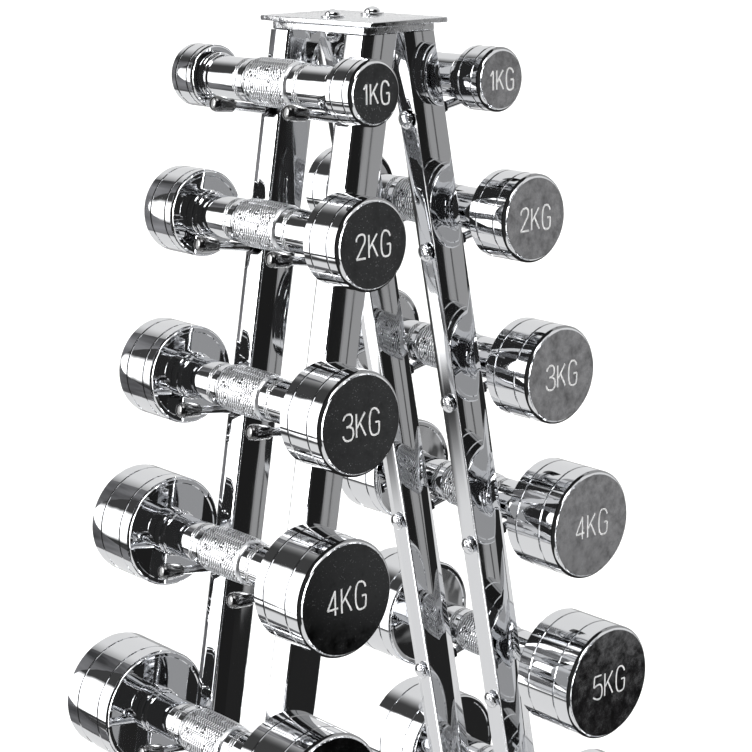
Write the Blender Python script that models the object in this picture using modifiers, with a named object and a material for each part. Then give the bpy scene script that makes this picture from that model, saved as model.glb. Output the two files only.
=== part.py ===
"""Chrome A-frame dumbbell rack with its sixteen dumbbells.

Four leaning rectangular tubes carry eight pairs of pegs on the front and eight on the back.
A dumbbell lies across each pair of pegs, its handle against the two tubes behind it.
Metres, +Z up, +X along the dumbbells, the front faces -Y, the floor is Z = 0.
"""

import math

import bmesh
import bpy
from mathutils import Matrix, Vector

# Leg tube
TUBE_FACE = 0.020
TUBE_DEPTH = 0.030
TUBE_WALL = 0.0015
TUBE_CORNER = 0.002
CORNER_SEGMENTS = 2

# Stand
LEAN = math.radians(10.3)
LEG_SPACING = 0.077
LEGS_TOP_GAP = 0.0042
LOWEST_HEAD_CLEARANCE = 0.065

# Top plate, the flange under it, and the two dome bolts through both
PLATE_LENGTH = 0.117
PLATE_WIDTH = 0.068
PLATE_THICKNESS = 0.0035
PLATE_CORNER = 0.003
FLANGE_WIDTH = 0.0625
FLANGE_THICKNESS = 0.005
TOP_BOLT_SPACING = 0.035
TOP_BOLT_RADIUS = 0.004
TOP_BOLT_HEAD_RADIUS = 0.0057
TOP_BOLT_HEAD_HEIGHT = 0.0050
TOP_BOLT_COLLAR_RADIUS = 0.0082
TOP_BOLT_COLLAR_HEIGHT = 0.0012
TOP_NUT_RADIUS = 0.0065
TOP_NUT_HEIGHT = 0.0075

# Base: a foot bar across each pair of legs and a rail on each side between the bars
FOOT_LENGTH = 0.300
FOOT_WIDTH = 0.040
FOOT_HEIGHT = 0.020
RAIL_WIDTH = 0.020
RAIL_HEIGHT = 0.016

# Pegs
ROD_RADIUS = 0.003
PEG_REACH = 0.0495
CAP_RADIUS = 0.0055
CAP_LENGTH = 0.017
JAM_NUT_RADIUS = 0.0050
JAM_NUT_HEIGHT = 0.0045
PEG_HEAD_RADIUS = 0.0055
PEG_HEAD_HEIGHT = 0.0035

# Dumbbell handles, the same for every mark
HANDLE_LENGTH = 0.140
NECK_RADIUS = 0.0150
GRIP_RISE = 0.0018
GRIP_RADIUS = NECK_RADIUS + GRIP_RISE
GRIP_LENGTH = 0.039
GRIP_SLOPE = 0.003
HEAD_CHAMFER = 0.002

# Tiers from the top: mark in kilograms, head diameter, head length, step down the leg from the tier above
TIERS = (
    (1, 0.0430, 0.0254, 0.0451),
    (2, 0.0603, 0.0345, 0.0940),
    (3, 0.0692, 0.0406, 0.1129),
    (4, 0.0784, 0.0469, 0.1122),
    (5, 0.0852, 0.0525, 0.1290),
    (6, 0.0910, 0.0562, 0.1243),
    (8, 0.1010, 0.0629, 0.1420),
    (10, 0.1100, 0.0677, 0.1525),
)
# How far each hand-placed dumbbell lies off the middle along X, where it does
FRONT_OFFSETS = {1: -0.0092, 2: -0.0056, 3: -0.0028, 4: -0.0027}
BACK_OFFSETS = {1: -0.0100, 2: -0.0017, 3: -0.0015, 4: 0.0037, 5: -0.0040}

FIT_GAP = 0.0003
DUMBBELL_SIDES = 16
PEG_SIDES = 8
BOLT_SIDES = 12

FRONT = -1
BACK = 1
SIDE_NAMES = {FRONT: "front", BACK: "back"}
HAND_NAMES = {-1: "left", 1: "right"}

LEG_HORIZONTAL_DEPTH = TUBE_DEPTH / math.cos(LEAN)
HANDLE_OUT = NECK_RADIUS + FIT_GAP
CLEAR_OF_LEGS = (LEG_SPACING - TUBE_FACE) / 2 - FIT_GAP
PEG_DROP = NECK_RADIUS + FIT_GAP + ROD_RADIUS


def tier_downs():
    """Distance down the leg from the plate's top to each dumbbell's axis."""
    downs = []
    down = 0.0
    for _mark, _diameter, _length, step in TIERS:
        down += step
        downs.append(down)
    return downs


LAST_DROP = tier_downs()[-1] * math.cos(LEAN) - HANDLE_OUT * math.sin(LEAN)
HEIGHT = LAST_DROP + TIERS[-1][1] / 2 + LOWEST_HEAD_CLEARANCE
LEG_TOP = HEIGHT - PLATE_THICKNESS - FLANGE_THICKNESS - 2 * FIT_GAP
LEG_BOTTOM = FOOT_HEIGHT + FIT_GAP
OUTER_AT_LEG_TOP = LEGS_TOP_GAP / 2 + LEG_HORIZONTAL_DEPTH
OUTER_AT_HEIGHT = OUTER_AT_LEG_TOP - (HEIGHT - LEG_TOP) * math.tan(LEAN)
OUTER_AT_FOOT = OUTER_AT_LEG_TOP + (LEG_TOP - LEG_BOTTOM) * math.tan(LEAN)
FOOT_CENTRE = OUTER_AT_FOOT - LEG_HORIZONTAL_DEPTH / 2


def leg_matrix(side, x=0.0, out=0.0, down=0.0):
    """A frame on a leg: Z up the leg, origin out from its outer face and down from the plate's top."""
    turn = Matrix.Rotation(side * LEAN, 4, "X")
    corner = Vector((x, side * OUTER_AT_HEIGHT, HEIGHT))
    offset = turn @ Vector((0.0, side * out, -down))
    return Matrix.Translation(corner + offset) @ turn


def outward_matrix(side, x, out, down):
    """The same frame with its Z pointing straight out of the leg's outer face."""
    return leg_matrix(side, x, out, down) @ Matrix.Rotation(-side * math.pi / 2, 4, "X")


def clear_scene():
    for old in list(bpy.data.objects):
        bpy.data.objects.remove(old, do_unlink=True)


def new_collection(name):
    collection = bpy.data.collections.new(name)
    bpy.context.scene.collection.children.link(collection)
    return collection


def chrome():
    """Bright chromium plate."""
    material = bpy.data.materials.new("chrome plate")
    material.use_nodes = True
    shader = material.node_tree.nodes["Principled BSDF"]
    shader.inputs["Base Color"].default_value = (0.80, 0.80, 0.81, 1.0)
    shader.inputs["Metallic"].default_value = 1.0
    shader.inputs["Roughness"].default_value = 0.06
    return material


def add_object(name, mesh, matrix, collection, material=None):
    piece = bpy.data.objects.new(name, mesh)
    piece.matrix_world = matrix
    collection.objects.link(piece)
    if material:
        mesh.materials.append(material)
    return piece


def add_cutter(name, mesh, matrix, cutters):
    cutter = add_object(name, mesh, matrix, cutters)
    cutter.hide_render = True
    cutter.display_type = "WIRE"
    return cutter


def box_mesh(name, size, corner=0.0, along="Z"):
    """A box of the given size; its four edges along one axis are rounded when a corner is given."""
    mesh = bpy.data.meshes.new(name)
    shape = bmesh.new()
    bmesh.ops.create_cube(shape, size=1.0)
    bmesh.ops.scale(shape, vec=size, verts=shape.verts)
    if corner:
        axis = "XYZ".index(along)
        edges = [edge for edge in shape.edges if abs((edge.verts[0].co - edge.verts[1].co)[axis]) > 1e-6]
        bmesh.ops.bevel(shape, geom=edges, offset=corner, segments=CORNER_SEGMENTS, profile=0.5, affect="EDGES")
    shape.to_mesh(mesh)
    shape.free()
    return mesh


def rod_mesh(name, radius, length, sides, matrices):
    """Straight rods along their frames' Z, as one mesh."""
    mesh = bpy.data.meshes.new(name)
    shape = bmesh.new()
    for matrix in matrices:
        bmesh.ops.create_cone(shape, cap_ends=True, segments=sides, radius1=radius, radius2=radius,
                              depth=length, matrix=matrix)
    shape.to_mesh(mesh)
    shape.free()
    return mesh


def turned(name, profile, sides, matrix, collection, material):
    """A turned piece: profile points are (radius, height), from its top down its outer side."""
    mesh = bpy.data.meshes.new(name)
    points = [(radius, 0.0, height) for radius, height in profile]
    mesh.from_pydata(points, [(i, i + 1) for i in range(len(points) - 1)], [])
    piece = add_object(name, mesh, matrix, collection, material)
    screw = piece.modifiers.new("turn", "SCREW")
    screw.steps = sides
    screw.render_steps = sides
    screw.use_merge_vertices = True
    screw.merge_threshold = 0.00005
    screw.use_smooth_shade = True
    return piece


def cut(piece, cutter, operation="DIFFERENCE"):
    modifier = piece.modifiers.new(cutter.name, "BOOLEAN")
    modifier.operation = operation
    modifier.solver = "EXACT"
    modifier.object = cutter


def tube_bar(name, size, along, matrix, collection, cutters, material):
    """A straight piece of rectangular tube, open at both ends."""
    axis = "XYZ".index(along)
    bore = [width - 2 * TUBE_WALL for width in size]
    bore[axis] = size[axis] * 2
    bar = add_object(name, box_mesh(name, size, TUBE_CORNER, along), matrix, collection, material)
    cut(bar, add_cutter(name + "_bore", box_mesh(name + "_bore", bore), matrix, cutters))
    return bar


def build_leg(side, hand, collection, cutters, material):
    """One leaning tube, cut level at both ends and bored for its eight pegs."""
    name = f"leg_{SIDE_NAMES[side]}_{HAND_NAMES[hand]}"
    x = hand * LEG_SPACING / 2
    span = HEIGHT / math.cos(LEAN)
    middle = leg_matrix(side, x, -TUBE_DEPTH / 2, span / 2)
    stock = (TUBE_FACE, TUBE_DEPTH, span * 1.1)
    leg = tube_bar(name, stock, "Z", middle, collection, cutters, material)
    hole_radius = (ROD_RADIUS + FIT_GAP) / math.cos(math.pi / PEG_SIDES)
    frames = [outward_matrix(side, x, -TUBE_DEPTH / 2, down + PEG_DROP) for down in tier_downs()]
    holes = rod_mesh(name + "_holes", hole_radius, TUBE_DEPTH * 2, PEG_SIDES, frames)
    cut(leg, add_cutter(name + "_holes", holes, Matrix(), cutters))
    level = LEG_TOP - LEG_BOTTOM
    slab = box_mesh(name + "_slab", (LEG_SPACING * 2, OUTER_AT_FOOT * 3, level))
    place = Matrix.Translation((0.0, 0.0, LEG_BOTTOM + level / 2))
    cut(leg, add_cutter(name + "_slab", slab, place, cutters), "INTERSECT")


def build_top(collection, cutters, material):
    """The top plate and its flange, bored for the dome bolts, and the two bolts with their nuts."""
    plate_z = HEIGHT - PLATE_THICKNESS / 2
    flange_z = LEG_TOP + FIT_GAP + FLANGE_THICKNESS / 2
    plate_size = (PLATE_LENGTH, PLATE_WIDTH, PLATE_THICKNESS)
    flange_size = (LEG_SPACING + TUBE_FACE, FLANGE_WIDTH, FLANGE_THICKNESS)
    stack = PLATE_THICKNESS + FLANGE_THICKNESS + FIT_GAP
    hole_radius = (TOP_BOLT_RADIUS + FIT_GAP) / math.cos(math.pi / BOLT_SIDES)
    bolt_ys = (FRONT * TOP_BOLT_SPACING / 2, BACK * TOP_BOLT_SPACING / 2)
    frames = [Matrix.Translation((0.0, y, HEIGHT - stack / 2)) for y in bolt_ys]
    holes = add_cutter("bolt_holes", rod_mesh("bolt_holes", hole_radius, stack * 3, BOLT_SIDES, frames),
                       Matrix(), cutters)
    for name, size, z in (("top_plate", plate_size, plate_z), ("top_flange", flange_size, flange_z)):
        sheet = add_object(name, box_mesh(name, size, PLATE_CORNER), Matrix.Translation((0.0, 0.0, z)),
                           collection, material)
        cut(sheet, holes)
    collar = FIT_GAP + TOP_BOLT_COLLAR_HEIGHT
    nut_top = -stack - FIT_GAP
    profile = (
        (0.0, FIT_GAP + TOP_BOLT_HEAD_HEIGHT),
        (TOP_BOLT_HEAD_RADIUS * 0.6, FIT_GAP + TOP_BOLT_HEAD_HEIGHT * 0.85),
        (TOP_BOLT_HEAD_RADIUS, collar),
        (TOP_BOLT_COLLAR_RADIUS, collar),
        (TOP_BOLT_COLLAR_RADIUS, FIT_GAP),
        (TOP_BOLT_RADIUS, FIT_GAP),
        (TOP_BOLT_RADIUS, nut_top),
        (TOP_NUT_RADIUS, nut_top),
        (TOP_NUT_RADIUS, nut_top - TOP_NUT_HEIGHT * 0.6),
        (0.0, nut_top - TOP_NUT_HEIGHT),
    )
    for side, y in zip((FRONT, BACK), bolt_ys):
        place = Matrix.Translation((0.0, y, HEIGHT))
        turned(f"top_bolt_{SIDE_NAMES[side]}", profile, BOLT_SIDES, place, collection, material)


def build_base(collection, cutters, material):
    """Two foot bars on the floor and the two rails between them."""
    for side in (FRONT, BACK):
        place = Matrix.Translation((0.0, side * FOOT_CENTRE, FOOT_HEIGHT / 2))
        tube_bar(f"foot_bar_{SIDE_NAMES[side]}", (FOOT_LENGTH, FOOT_WIDTH, FOOT_HEIGHT), "X", place,
                 collection, cutters, material)
    rail_length = 2 * (FOOT_CENTRE - FOOT_WIDTH / 2 - FIT_GAP)
    for hand in (-1, 1):
        place = Matrix.Translation((hand * LEG_SPACING / 2, 0.0, FOOT_HEIGHT / 2))
        tube_bar(f"side_rail_{HAND_NAMES[hand]}", (RAIL_WIDTH, rail_length, RAIL_HEIGHT), "Y", place,
                 collection, cutters, material)


def build_peg(side, hand, mark, down, collection, material):
    """A dome-head peg bolt through the leg, with its jam nut and the black cap on its end."""
    inner = -TUBE_DEPTH - FIT_GAP
    cap_start = PEG_REACH - CAP_LENGTH
    profile = (
        (0.0, PEG_REACH),
        (CAP_RADIUS * 0.75, PEG_REACH - CAP_RADIUS * 0.35),
        (CAP_RADIUS, PEG_REACH - CAP_RADIUS),
        (CAP_RADIUS, cap_start),
        (ROD_RADIUS, cap_start),
        (ROD_RADIUS, FIT_GAP + JAM_NUT_HEIGHT),
        (JAM_NUT_RADIUS, FIT_GAP + JAM_NUT_HEIGHT),
        (JAM_NUT_RADIUS, FIT_GAP),
        (ROD_RADIUS, FIT_GAP),
        (ROD_RADIUS, inner),
        (PEG_HEAD_RADIUS, inner),
        (PEG_HEAD_RADIUS * 0.55, inner - PEG_HEAD_HEIGHT * 0.85),
        (0.0, inner - PEG_HEAD_HEIGHT),
    )
    name = f"peg_{SIDE_NAMES[side]}_{HAND_NAMES[hand]}_{mark}kg"
    place = outward_matrix(side, hand * LEG_SPACING / 2, 0.0, down + PEG_DROP)
    turned(name, profile, PEG_SIDES, place, collection, material)


def build_dumbbell(side, mark, diameter, length, down, collection, material):
    """A one-piece dumbbell: two round heads and a handle, which meets the legs with its neck or its grip."""
    radius = diameter / 2
    inner_face = HANDLE_LENGTH / 2
    half = (
        (0.0, inner_face + length),
        (radius - HEAD_CHAMFER, inner_face + length),
        (radius, inner_face + length - HEAD_CHAMFER),
        (radius, inner_face),
        (NECK_RADIUS, inner_face),
        (NECK_RADIUS, GRIP_LENGTH / 2 + GRIP_SLOPE),
        (GRIP_RADIUS, GRIP_LENGTH / 2),
    )
    profile = half + tuple((r, -z) for r, z in reversed(half))
    offset = (FRONT_OFFSETS if side == FRONT else BACK_OFFSETS).get(mark, 0.0)
    grip_end = abs(offset) + GRIP_LENGTH / 2 + GRIP_SLOPE
    out = HANDLE_OUT if grip_end < CLEAR_OF_LEGS else GRIP_RADIUS + FIT_GAP
    place = leg_matrix(side, offset, out, down)
    along_x = Matrix.Rotation(math.pi / 2, 4, "Y")
    centre = Matrix.Translation(place.translation) @ along_x
    turned(f"dumbbell_{SIDE_NAMES[side]}_{mark}kg", profile, DUMBBELL_SIDES, centre, collection, material)


def main():
    clear_scene()
    rack = new_collection("dumbbell rack")
    cutters = new_collection("cutters")
    material = chrome()
    build_top(rack, cutters, material)
    build_base(rack, cutters, material)
    for side in (FRONT, BACK):
        for hand in (-1, 1):
            build_leg(side, hand, rack, cutters, material)
        for (mark, diameter, length, _step), down in zip(TIERS, tier_downs()):
            build_dumbbell(side, mark, diameter, length, down, rack, material)
            for hand in (-1, 1):
                build_peg(side, hand, mark, down, rack, material)


main()
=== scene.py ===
"""A chrome A-frame dumbbell rack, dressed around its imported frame."""

import math

import bpy
from bpy.props import FloatProperty, IntProperty, PointerProperty, StringProperty
from mathutils import Matrix, Vector


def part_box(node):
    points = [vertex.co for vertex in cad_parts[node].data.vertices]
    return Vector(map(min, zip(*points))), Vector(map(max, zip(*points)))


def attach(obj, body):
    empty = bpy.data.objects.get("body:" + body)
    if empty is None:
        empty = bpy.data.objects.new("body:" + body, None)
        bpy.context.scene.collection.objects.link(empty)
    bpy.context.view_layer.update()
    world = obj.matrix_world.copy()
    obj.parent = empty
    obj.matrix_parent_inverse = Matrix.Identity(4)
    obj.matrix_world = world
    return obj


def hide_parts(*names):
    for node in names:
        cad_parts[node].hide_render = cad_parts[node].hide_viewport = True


bl_info = {
    "name": "Dumbbell Rack",
    "version": (1, 0, 0),
    "blender": (4, 5, 0),
    "location": "View3D > Sidebar > Rack",
    "description": "Builds the visible surfaces of a chrome dumbbell rack and its dumbbells",
    "category": "Add Mesh",
}

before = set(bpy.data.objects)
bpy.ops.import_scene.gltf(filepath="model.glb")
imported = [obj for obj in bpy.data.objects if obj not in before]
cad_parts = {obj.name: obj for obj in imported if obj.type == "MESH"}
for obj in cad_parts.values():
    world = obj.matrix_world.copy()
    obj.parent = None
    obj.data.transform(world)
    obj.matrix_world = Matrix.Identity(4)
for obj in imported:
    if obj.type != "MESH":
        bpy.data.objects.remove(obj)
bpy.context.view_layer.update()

MM = 0.001
SIDES = {"front": -1, "back": 1}
HANDS = {"left": -1, "right": 1}
MARKS = (1, 2, 3, 4, 5, 6, 8, 10)
LEAN = math.radians(10.3)
TUBE_FACE = 20 * MM
TUBE_DEPTH = 30 * MM
PEG_REACH = 49.5 * MM
HANDLE_LENGTH = 140 * MM
PLATE_CORNER = 3 * MM
BOLT_HOLE_RADIUS = 4.3 * MM
PAD_INSET = 26 * MM
SPIGOT_DEPTH = 9 * MM
BAND_CENTRE = 31.2 * MM
BAND_LENGTH = 6.4 * MM
# Clearance between pieces that touch, and the distance under which two vertices are one
GAP = 0.3 * MM
WELD = 0.002 * MM

# ---------------------------------------------------------------- sizes and colours a user would change


class RackStandSizes(bpy.types.PropertyGroup):
    tube_corner: FloatProperty(name="Tube Corner", description="Outer corner radius of the tubes",
                               default=2.2 * MM, unit="LENGTH")
    tube_wall: FloatProperty(name="Tube Wall", description="Wall thickness of the tubes",
                             default=1.5 * MM, unit="LENGTH")
    plate_edge: FloatProperty(name="Plate Edge", description="Rounding of the top plate's edges",
                              default=0.7 * MM, unit="LENGTH")
    pad_height: FloatProperty(name="Pad Height", description="Thickness of the pads under the foot bars",
                              default=3.0 * MM, unit="LENGTH")
    plug_depth: FloatProperty(name="End Plug", description="How much of a bar's end the plug's cap takes up",
                              default=3.0 * MM, unit="LENGTH")


class RackPegSizes(bpy.types.PropertyGroup):
    rod_radius: FloatProperty(name="Rod Radius", description="Radius of the chrome peg rod",
                              default=3.0 * MM, unit="LENGTH")
    cap_radius: FloatProperty(name="Cap Radius", description="Largest radius of the black end cap",
                              default=5.5 * MM, unit="LENGTH")
    cap_length: FloatProperty(name="Cap Length", description="Length of the black end cap",
                              default=17 * MM, unit="LENGTH")
    nut_across: FloatProperty(name="Jam Nut", description="Width of the jam nut across its corners",
                              default=10 * MM, unit="LENGTH")


class RackDumbbellSizes(bpy.types.PropertyGroup):
    neck_radius: FloatProperty(name="Neck Radius", description="Radius of the plain part of the handle",
                               default=14.7 * MM, unit="LENGTH")
    grip_radius: FloatProperty(name="Grip Radius", description="Radius at the tips of the knurled grip",
                               default=16.5 * MM, unit="LENGTH")
    grip_length: FloatProperty(name="Grip Length", description="Length of the knurled grip with its tapers",
                               default=45 * MM, unit="LENGTH")
    # A real knurl is about 1.5 mm wide, too fine to show, so it is drawn coarser
    knurl_pitch: FloatProperty(name="Knurl Pitch", description="Width of one knurled diamond",
                               default=2.4 * MM, unit="LENGTH")
    knurl_depth: FloatProperty(name="Knurl Depth", description="Height of a knurled diamond",
                               default=0.32 * MM, unit="LENGTH")
    groove_depth: FloatProperty(name="Groove Depth", description="Depth of the turned grooves in a head",
                                default=0.9 * MM, unit="LENGTH")
    mark_height: FloatProperty(name="Mark Height", description="Height of a mark before the head's share",
                               default=8.5 * MM, unit="LENGTH")
    head_sides: IntProperty(name="Roundness", description="Number of sides of a round head",
                            default=96, min=24)


class RackColours(bpy.types.PropertyGroup):
    chrome: StringProperty(name="Chrome", description="Colour of bright chrome plate", default="#E3E4E6")
    # The end faces' colours are painted shade on one chrome finish: darker on the front dumbbells, lighter
    # on the back ones
    face_front: StringProperty(name="Front End Face", description="Colour of the front dumbbells' end faces",
                               default="#565758")
    face_back: StringProperty(name="Back End Face", description="Colour of the back dumbbells' end faces",
                              default="#B2B2B4")
    # The jam nuts are drawn in a plain dark grey
    nut: StringProperty(name="Jam Nut", description="Colour of the darkened jam nuts", default="#3C3C3E")
    mark: StringProperty(name="Mark", description="Colour of the stamped weight marks", default="#FAFAFA")
    cap: StringProperty(name="Cap", description="Colour of the moulded peg caps", default="#0B0B0C")
    rubber: StringProperty(name="Rubber", description="Colour of the pads", default="#1A1A1B")
    card: StringProperty(name="Card", description="Colour of the dark card beside the rack",
                         default="#7A7A7C")
    floor: StringProperty(name="Floor", description="Colour of the studio floor", default="#F4F4F3")


# The strokes of the stamped letters, on a grid four units wide and six high; a stroke that ends where it
# starts is a closed loop
STROKES = {
    "0": [[(2, 6), (-0.4, 6.2), (-0.4, -0.2), (2, 0), (4.4, -0.2), (4.4, 6.2), (2, 6)]],
    "1": [[(0.5, 4.5), (1.9, 6)], [(1.9, 6), (1.9, 0)]],
    "2": [[(0, 4.6), (0.1, 6.2), (3.6, 6.5), (3.9, 4.4), (2.6, 3), (0, 0)], [(0, 0), (4, 0)]],
    "3": [[(0.2, 5), (0.5, 6.3), (3.8, 6.4), (3.8, 3.3), (1.4, 3.2)],
          [(1.4, 3.2), (4.2, 3.3), (4.2, -0.3), (0.3, -0.3), (0, 1.2)]],
    "4": [[(4, 1.6), (0, 1.6)], [(0, 1.6), (3, 6)], [(3, 6), (3, 0)]],
    "5": [[(3.8, 6), (0.6, 6)], [(0.6, 6), (0.3, 3.2)],
          [(0.3, 3.2), (3.9, 4.5), (4.4, 0), (1.8, -0.5), (0, 0.7)]],
    "6": [[(3.4, 6), (0.6, 4.2), (-0.6, 0), (2, -0.5), (4.6, 0.2), (4, 4), (1.4, 3.9), (0.3, 2)]],
    "8": [[(2, 3.2), (0, 3.2), (0, 6.2), (4, 6.2), (4, 3.2), (2, 3.2)],
          [(2, 3.3), (-0.4, 3.3), (-0.4, -0.3), (4.4, -0.3), (4.4, 3.3), (2, 3.3)]],
    "K": [[(0, 6), (0, 0)], [(3.6, 6), (0.2, 2.4)], [(1.3, 3.7), (3.8, 0)]],
    "G": [[(3.9, 4.8), (3.4, 6.4), (0, 6.4), (-0.1, -0.3), (3.6, -0.5), (4, 1.2), (4, 2.8)],
          [(4, 2.8), (2.4, 2.8)]],
}

# ---------------------------------------------------------------- materials


def linear(hex_colour):
    """An sRGB hex colour as linear RGBA."""
    channels = [int(hex_colour[i:i + 2], 16) / 255 for i in (1, 3, 5)]
    return tuple(c / 12.92 if c <= 0.04045 else ((c + 0.055) / 1.055) ** 2.4 for c in channels) + (1.0,)


def add_node(tree, kind, settings=None, links=None):
    """Adds a node; settings are attributes or socket values, links are sockets by name or number."""
    node = tree.nodes.new(kind)
    for name, value in (settings or {}).items():
        if isinstance(name, str) and hasattr(node, name):
            setattr(node, name, value)
        else:
            node.inputs[name].default_value = value
    for name, socket in (links or {}).items():
        tree.links.new(socket, node.inputs[name])
    return node


def new_material(name):
    """A material with an empty tree, its shader and its Object coordinates."""
    material = bpy.data.materials.new(name)
    material.use_nodes = True
    tree = material.node_tree
    tree.nodes.clear()
    shader = add_node(tree, "ShaderNodeBsdfPrincipled")
    add_node(tree, "ShaderNodeOutputMaterial", links={"Surface": shader.outputs["BSDF"]})
    place = add_node(tree, "ShaderNodeTexCoord").outputs["Object"]
    return material, tree, shader, place


def per_metre(size_mm):
    """Texture scale that makes one feature about this many millimetres wide."""
    return 1000.0 / size_mm


def chrome_plate(name, colour, waviness_mm, ripple, haze, stretch=(1, 1, 1)):
    """Bright chromium over polished steel: a near-perfect mirror, with a faint orange peel and hazy smudges.

    ripple is the peel's height in metres, and haze is the roughness of clean and of smudged plating.
    """
    material, tree, shader, place = new_material(name)
    shader.inputs["Base Color"].default_value = linear(colour)
    shader.inputs["Metallic"].default_value = 1.0
    spread = add_node(tree, "ShaderNodeMapping", {"Scale": stretch}, {"Vector": place})
    smudge = add_node(tree, "ShaderNodeTexNoise", {"Scale": per_metre(25), "Detail": 5.0, "Roughness": 0.65},
                      {"Vector": spread.outputs["Vector"]})
    rough = add_node(tree, "ShaderNodeMapRange",
                     {"From Min": 0.42, "From Max": 0.72, "To Min": haze[0], "To Max": haze[1]},
                     {"Value": smudge.outputs["Fac"]})
    tree.links.new(rough.outputs["Result"], shader.inputs["Roughness"])
    peel = add_node(tree, "ShaderNodeTexNoise", {"Scale": per_metre(waviness_mm), "Detail": 1.0},
                    {"Vector": spread.outputs["Vector"]})
    bump = add_node(tree, "ShaderNodeBump", {"Strength": 1.0, "Distance": ripple},
                    {"Height": peel.outputs["Fac"]})
    tree.links.new(bump.outputs["Normal"], shader.inputs["Normal"])
    return material


def pitted_chrome(name, colour):
    """Chrome over rough rolled plate: pinhole pits and dull spots all over, and hazier than the tubes."""
    material, tree, shader, place = new_material(name)
    shader.inputs["Metallic"].default_value = 1.0
    # Real pinholes are about 0.2 mm wide, too fine to show, so they are drawn coarser
    pits = add_node(tree, "ShaderNodeTexVoronoi", {"Scale": per_metre(1.5), "Randomness": 1.0},
                    {"Vector": place})
    patch = add_node(tree, "ShaderNodeTexNoise", {"Scale": per_metre(5), "Detail": 4.0, "Roughness": 0.7},
                     {"Vector": place})
    dull = add_node(tree, "ShaderNodeMapRange", {"From Min": 0.42, "From Max": 0.62},
                    {"Value": patch.outputs["Fac"]})
    hole = add_node(tree, "ShaderNodeMapRange", {"From Min": 0.30, "From Max": 0.12},
                    {"Value": pits.outputs["Distance"]})
    spot = add_node(tree, "ShaderNodeMath", {"operation": "MULTIPLY"},
                    {0: dull.outputs["Result"], 1: hole.outputs["Result"]})
    tint = add_node(tree, "ShaderNodeMix", {"data_type": "RGBA", 6: linear(colour), 7: linear("#3A3A3B")},
                    {0: spot.outputs["Value"]})
    tree.links.new(tint.outputs[2], shader.inputs["Base Color"])
    rough = add_node(tree, "ShaderNodeMapRange", {"To Min": 0.10, "To Max": 0.34},
                     {"Value": dull.outputs["Result"]})
    tree.links.new(rough.outputs["Result"], shader.inputs["Roughness"])
    bump = add_node(tree, "ShaderNodeBump", {"Strength": 0.6, "Distance": 0.0003},
                    {"Height": spot.outputs["Value"]})
    bump.invert = True
    tree.links.new(bump.outputs["Normal"], shader.inputs["Normal"])
    return material


def painted_shade_face(name, colour):
    """The flat end of a head: polished chrome darkened by painted shade, clouded by handling and speckled
    with dust.
    """
    material, tree, shader, place = new_material(name)
    shader.inputs["Metallic"].default_value = 1.0
    # Real dust is finer than 0.1 mm, too fine to show, so it is drawn coarser
    speck = add_node(tree, "ShaderNodeTexVoronoi", {"Scale": per_metre(1.6), "Randomness": 1.0},
                     {"Vector": place})
    patch = add_node(tree, "ShaderNodeTexNoise", {"Scale": per_metre(9), "Detail": 6.0, "Roughness": 0.7},
                     {"Vector": place})
    dots = add_node(tree, "ShaderNodeMapRange", {"From Min": 0.24, "From Max": 0.12},
                    {"Value": speck.outputs["Distance"]})
    dusty = add_node(tree, "ShaderNodeMapRange", {"From Min": 0.46, "From Max": 0.62},
                     {"Value": patch.outputs["Fac"]})
    dust = add_node(tree, "ShaderNodeMath", {"operation": "MULTIPLY"},
                    {0: dots.outputs["Result"], 1: dusty.outputs["Result"]})
    cloud = add_node(tree, "ShaderNodeMapRange",
                     {"From Min": 0.3, "From Max": 0.72, "To Min": 0.55, "To Max": 1.7},
                     {"Value": patch.outputs["Fac"]})
    shade = add_node(tree, "ShaderNodeVectorMath", {"operation": "SCALE", 0: linear(colour)[:3]},
                     {"Scale": cloud.outputs["Result"]})
    tint = add_node(tree, "ShaderNodeMix", {"data_type": "RGBA", 7: linear("#D8D9DC")},
                    {0: dust.outputs["Value"], 6: shade.outputs["Vector"]})
    tree.links.new(tint.outputs[2], shader.inputs["Base Color"])
    rough = add_node(tree, "ShaderNodeMapRange",
                     {"From Min": 0.35, "From Max": 0.75, "To Min": 0.05, "To Max": 0.22},
                     {"Value": patch.outputs["Fac"]})
    tree.links.new(rough.outputs["Result"], shader.inputs["Roughness"])
    return material


def stamped_mark(name, colour):
    """The floor of a stamped letter: chrome left matt by the punch, so it catches light from everywhere."""
    material, tree, shader, place = new_material(name)
    shader.inputs["Base Color"].default_value = linear(colour)
    shader.inputs["Metallic"].default_value = 0.25
    shader.inputs["Roughness"].default_value = 0.6
    # The punch's real grain is too fine to show, so it is drawn coarser
    grain = add_node(tree, "ShaderNodeTexNoise", {"Scale": per_metre(0.8), "Detail": 2.0}, {"Vector": place})
    bump = add_node(tree, "ShaderNodeBump", {"Strength": 0.5, "Distance": 0.0001},
                    {"Height": grain.outputs["Fac"]})
    tree.links.new(bump.outputs["Normal"], shader.inputs["Normal"])
    return material


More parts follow.
